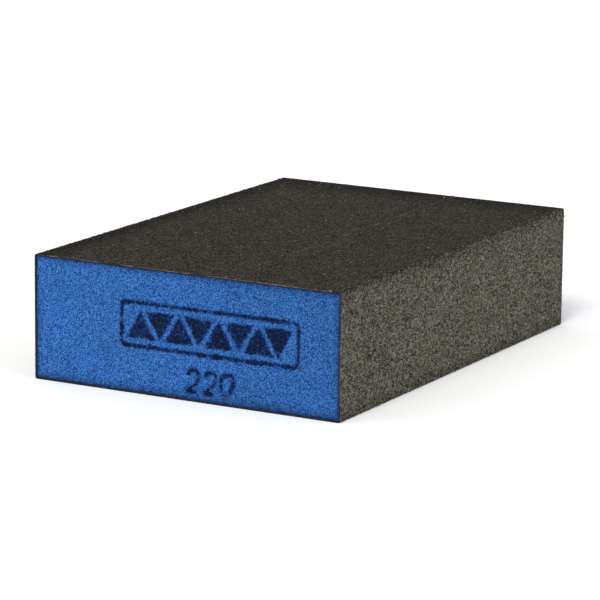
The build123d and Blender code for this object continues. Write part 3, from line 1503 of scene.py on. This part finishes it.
@dataclass
class GrainScatter:
    """Crushed grains, scattered over a coat and sunk into it.

    The real grains of this grade are about 0.07 mm across, which is too fine to show, so they
    are drawn a few times coarser and fewer.
    """

    per_mm2: float
    width: float
    seed: int
    shapes: int = 3
    crush: float = 0.75
    knock_scale: float = 1.9
    first_knock: float = 1.3
    next_knock: float = 3.7
    sink: float = 0.22
    grading: Range = (0.5, 1.15)

    @staticmethod
    def sockets() -> tuple[tuple[str, str], ...]:
        """The tree's inputs: their names and kinds."""
        return (
            ("Coat", "NodeSocketGeometry"),
            ("Grains per square metre", "NodeSocketFloat"),
            ("Grain width", "NodeSocketFloat"),
            ("Seed", "NodeSocketInt"),
            ("Finish", "NodeSocketMaterial"),
        )

    @staticmethod
    def product(
        tree: bpy.types.NodeTree, value: bpy.types.NodeSocket, factor: bpy.types.NodeSocket | float
    ) -> bpy.types.NodeSocket:
        """A number times another."""
        settings = {"operation": "MULTIPLY"}
        return add_node(tree, "ShaderNodeMath", settings, {0: value, 1: factor}).outputs[0]

    @staticmethod
    def scaled(
        tree: bpy.types.NodeTree, vector: bpy.types.NodeSocket, factor: bpy.types.NodeSocket | float
    ) -> bpy.types.NodeSocket:
        """A vector times a number."""
        settings, inputs = {"operation": "SCALE"}, {0: vector, "Scale": factor}
        return add_node(tree, "ShaderNodeVectorMath", settings, inputs).outputs["Vector"]

    @staticmethod
    def drawn(
        tree: bpy.types.NodeTree, kind: str, seed: int, limits: dict[int, object]
    ) -> bpy.types.NodeSocket:
        """A random value for each grain.

        Args:
            tree: The tree.
            kind: The node's data type.
            seed: The number that sets this value apart from the grain's others.
            limits: The least and greatest value, by the number of their inputs.

        Returns:
            The value.
        """
        output = {"FLOAT_VECTOR": 0, "FLOAT": 1, "INT": 2}[kind]
        inputs = limits | {"Seed": seed}
        node = add_node(tree, "FunctionNodeRandomValue", {"data_type": kind}, inputs)
        return node.outputs[output]

    def crushed_grain(self, tree: bpy.types.NodeTree, number: int) -> bpy.types.NodeSocket:
        """One block of mineral, its corners knocked about."""
        block = add_node(tree, "GeometryNodeMeshCube")
        knock = self.next_knock * number + self.first_knock
        pattern = {"W": knock, "Scale": self.knock_scale, "Detail": 0.0}
        knocks = add_node(tree, "ShaderNodeTexNoise", {"noise_dimensions": "4D"}, pattern)
        inputs = {0: knocks.outputs["Color"], 1: (0.5, 0.5, 0.5)}
        centred = add_node(tree, "ShaderNodeVectorMath", {"operation": "SUBTRACT"}, inputs)
        moved = self.scaled(tree, centred.outputs["Vector"], 2 * self.crush)
        inputs = {"Geometry": block.outputs["Mesh"], "Offset": moved}
        return add_node(tree, "GeometryNodeSetPosition", None, inputs).outputs["Geometry"]

    def tree(self) -> bpy.types.NodeTree:
        """Builds the tree that turns a coat's mesh into its grains."""
        tree = bpy.data.node_groups.new("abrasive_grains", "GeometryNodeTree")
        for name, kind in self.sockets():
            tree.interface.new_socket(name, in_out="INPUT", socket_type=kind)
        tree.interface.new_socket("Grains", in_out="OUTPUT", socket_type="NodeSocketGeometry")
        given = add_node(tree, "NodeGroupInput").outputs
        named = {"Name": "grain_site"}
        site = add_node(tree, "GeometryNodeInputNamedAttribute", {"data_type": "FLOAT"}, named)
        density = self.product(tree, given["Grains per square metre"], site.outputs["Attribute"])
        spots = add_node(
            tree,
            "GeometryNodeDistributePointsOnFaces",
            {"distribute_method": "RANDOM"},
            {"Mesh": given["Coat"], "Density": density, "Seed": given["Seed"]},
        )
        sinking = self.product(tree, given["Grain width"], -self.sink)
        inward = self.scaled(tree, spots.outputs["Normal"], sinking)
        moves = {"Geometry": spots.outputs["Points"], "Offset": inward}
        sunk = add_node(tree, "GeometryNodeSetPosition", None, moves)
        shapes = add_node(tree, "GeometryNodeGeometryToInstance")
        for number in range(self.shapes):
            tree.links.new(self.crushed_grain(tree, number), shapes.inputs[0])
        smallest, largest = self.grading
        turn = self.drawn(tree, "FLOAT_VECTOR", 1, {1: (math.tau, math.tau, math.tau)})
        share = self.drawn(tree, "FLOAT", 2, {2: smallest, 3: largest})
        pick = self.drawn(tree, "INT", 3, {5: self.shapes - 1})
        tone = self.drawn(tree, "FLOAT", 4, {2: 0.0, 3: 1.0})
        width = self.product(tree, given["Grain width"], share)
        rotation = add_node(tree, "FunctionNodeEulerToRotation", None, {"Euler": turn})
        grains = add_node(
            tree,
            "GeometryNodeInstanceOnPoints",
            None,
            {
                "Points": sunk.outputs["Geometry"],
                "Instance": shapes.outputs[0],
                "Pick Instance": True,
                "Instance Index": pick,
                "Rotation": rotation.outputs["Rotation"],
                "Scale": width,
            },
        )
        toned = add_node(
            tree,
            "GeometryNodeStoreNamedAttribute",
            {"data_type": "FLOAT", "domain": "INSTANCE"},
            {"Geometry": grains.outputs["Instances"], "Name": "tone", "Value": tone},
        )
        instances = {"Geometry": toned.outputs["Geometry"]}
        real = add_node(tree, "GeometryNodeRealizeInstances", None, instances)
        finish = {"Geometry": real.outputs["Geometry"], "Material": given["Finish"]}
        dressed = add_node(tree, "GeometryNodeSetMaterial", None, finish)
        add_node(tree, "NodeGroupOutput", None, {"Grains": dressed.outputs["Geometry"]})
        return tree

    def build(
        self, name: str, coat: bpy.types.Object, finish: bpy.types.Material
    ) -> bpy.types.Object:
        """Grows the grains on a coat and takes them off as a plain mesh.

        Args:
            name: The new piece's name.
            coat: The coat, whose grain_site numbers say where grains stand.
            finish: The grains' material.

        Returns:
            The grains.
        """
        tree = self.tree()
        inputs = {
            "Grains per square metre": self.per_mm2 / MM**2,
            "Grain width": self.width * MM,
            "Seed": self.seed,
            "Finish": finish,
        }
        modifier = coat.modifiers.new("abrasive_grains", "NODES")
        modifier.node_group = tree
        for socket in tree.interface.items_tree:
            if socket.name in inputs:
                modifier[socket.identifier] = inputs[socket.name]
        graph = bpy.context.evaluated_depsgraph_get()
        mesh = bpy.data.meshes.new_from_object(coat.evaluated_get(graph), depsgraph=graph)
        coat.modifiers.remove(modifier)
        mesh.name = name
        mesh.materials.pop(index=0)
        made = bpy.data.objects.new(name, mesh)
        bpy.context.scene.collection.objects.link(made)
        return made


# ---------------------------------------------------------------- the studio


@dataclass(frozen=True)
class Lamp:
    """A wide, soft sun, with its angles in degrees."""

    name: str
    azimuth: float
    elevation: float
    strength: float
    spread: float


@dataclass(frozen=True)
class Studio:
    """A pale floor, soft light all round with a key from the front, and a long lens."""

    sizes: BlockSizes
    lamps: tuple[Lamp, ...] = (
        Lamp("front_key", 8.0, 42.0, 1.9, 26.0),
        Lamp("right_fill", 82.0, 24.0, 0.75, 40.0),
        Lamp("left_fill", -50.0, 35.0, 0.45, 50.0),
    )
    floor_size: float = 12000.0
    sky_strength: float = 0.62
    azimuth: float = 28.94
    elevation: float = 12.36
    roll: float = 0.62
    distance: float = 714.9
    aim_right: float = -1.80
    aim_up: float = -2.02
    lens: float = 204.2
    sensor: float = 36.0
    nearest: float = 10.0

    def lay_floor(self) -> None:
        """Lays the floor under the block."""
        half = self.floor_size / 2
        points = np.array([[-half, -half, 0], [half, -half, 0], [half, half, 0], [-half, half, 0]])
        floor = make_object("studio_floor", points, np.array([[0, 1, 2, 3]]), np.array([False]))
        floor.data.materials.append(FloorFinish().material())
        floor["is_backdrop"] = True

    def light(self) -> None:
        """Lights the block with a white sky and three wide, soft lamps."""
        world = bpy.data.worlds.new("studio_sky")
        world.use_nodes = True
        world.node_tree.nodes.clear()
        white = {"Color": (1, 1, 1, 1), "Strength": self.sky_strength}
        sky = add_node(world.node_tree, "ShaderNodeBackground", None, white)
        surface = {"Surface": sky.outputs["Background"]}
        add_node(world.node_tree, "ShaderNodeOutputWorld", None, surface)
        bpy.context.scene.world = world
        for lamp in self.lamps:
            sun = bpy.data.lights.new(lamp.name, "SUN")
            sun.energy = lamp.strength
            sun.angle = math.radians(lamp.spread)
            holder = bpy.data.objects.new(lamp.name, sun)
            holder.rotation_mode = "QUATERNION"
            back = self.direction(lamp.azimuth, lamp.elevation)
            holder.rotation_quaternion = back.to_track_quat("Z", "Y")
            bpy.context.scene.collection.objects.link(holder)

    @staticmethod
    def direction(azimuth: float, elevation: float) -> Vector:
        """The way from the block to a place at this azimuth and elevation, in degrees."""
        turn, rise = math.radians(azimuth), math.radians(elevation)
        flat = math.cos(rise)
        return Vector((math.sin(turn) * flat, -math.cos(turn) * flat, math.sin(rise)))

    def place_camera(self) -> None:
        """Sets the camera up on its long lens, aimed a little off the block's middle."""
        back = self.direction(self.azimuth, self.elevation)
        right = Vector((0, 0, 1)).cross(back).normalized()
        up = back.cross(right)
        aim = Vector((0, 0, self.sizes.height / 2)) + right * self.aim_right + up * self.aim_up
        tilt = math.radians(self.roll)
        leaning_right = right * math.cos(tilt) + up * math.sin(tilt)
        leaning_up = up * math.cos(tilt) - right * math.sin(tilt)
        data = bpy.data.cameras.new("studio_camera")
        data.lens = self.lens
        data.sensor_width = self.sensor
        data.clip_start = self.nearest * MM
        data.clip_end = 2 * self.floor_size * MM
        camera = bpy.data.objects.new("studio_camera", data)
        bpy.context.scene.collection.objects.link(camera)
        matrix = camera.matrix_world.copy()
        for column, axis in enumerate((leaning_right, leaning_up, back)):
            for row in range(3):
                matrix[row][column] = axis[row]
        matrix.translation = (aim + back * self.distance) * MM
        camera.matrix_world = matrix
        bpy.context.scene.camera = camera

    def build(self) -> None:
        """Builds the studio."""
        bpy.context.scene.view_settings.view_transform = "Standard"
        self.lay_floor()
        self.light()
        self.place_camera()


def build_coats(sizes: BlockSizes) -> None:
    """Builds the coats of the four long faces.

    The make coat has dried tan along the top's cut edge and is painted nearly black along the
    bottom's and the left side's, a painted shade for the cut edges that face away from the
    light; the blade smeared it furthest onto the foam there.

    Args:
        sizes: The block's sizes.
    """
    flat_resin = CoatFinish(
        "flat_face_size_resin", speck_spacing=0.27, speck_range=(0.0, 2.0)
    ).material()
    side_resin = CoatFinish("side_face_size_resin").material()
    # The flat faces' grain is darker than the sides': partly its own colour, partly painted shade
    # for faces that the light grazes.
    flat_grain = GrainFinish(
        "flat_face_grain", middle="#38352F", pale="#7A7366", pale_from=0.9
    ).material()
    side_grain = GrainFinish(
        "side_face_grain", dark="#262521", middle="#615F55", pale="#9A9686", pale_from=0.88
    ).material()
    tan = MakeCoatFinish("tan_make_resin").material()
    # Painted shade: the make coat of faces away from the light is a darkened copy of the top's, a
    # little on the right side and much on the bottom and left.
    olive = MakeCoatFinish("olive_make_resin", tan="#6B604A", tan_share=(-0.2, 0.8)).material()
    black = MakeCoatFinish("shaded_make_resin", tan="#4A4030", tan_share=(-0.9, 0.5)).material()
    top = CoatMaterials(flat_resin, flat_grain, tan)
    bottom = CoatMaterials(flat_resin, flat_grain, black)
    right = CoatMaterials(side_resin, side_grain, olive)
    left = CoatMaterials(side_resin, side_grain, black)
    AbrasiveCoat(sizes, Face.TOP, top, 0.27, 101, 1.1, 0.19).build()
    AbrasiveCoat(sizes, Face.BOTTOM, bottom, 0.34, 202, 1.1, 0.19, make_smear=0.2).build()
    AbrasiveCoat(sizes, Face.RIGHT, right, 0.185, 303, 2.6, 0.21).build()
    AbrasiveCoat(sizes, Face.LEFT, left, 0.185, 404, 2.6, 0.21, make_smear=0.2).build()


def main() -> None:
    """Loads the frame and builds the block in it."""
    logging.basicConfig(level=logging.INFO, format="%(message)s")
    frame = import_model()
    sizes = BlockSizes.from_frame(frame)
    stamp_nodes = {
        "stamped_border_ink": "stamped_border",
        "stamped_grain_marks_ink": "stamped_grain_marks",
        "stamped_grit_number_ink": "stamped_grit_number",
    }
    outlines = {
        name: InkOutline.from_node(frame["nodes"][node]) for name, node in stamp_nodes.items()
    }
    foam = FoamCore(sizes, list(outlines.values()))
    foam.build()
    stamp = InkStamp(sizes, foam, InkFinish().material())
    starved = {"stamped_grit_number_ink": 0.2, "stamped_border_ink": 0.02}
    for name, node in stamp_nodes.items():
        stamp.build(name, node, outlines[name], starved.get(name, 0.05))
    build_coats(sizes)
    Studio(sizes).build()


if __name__ == "__main__":
    main()
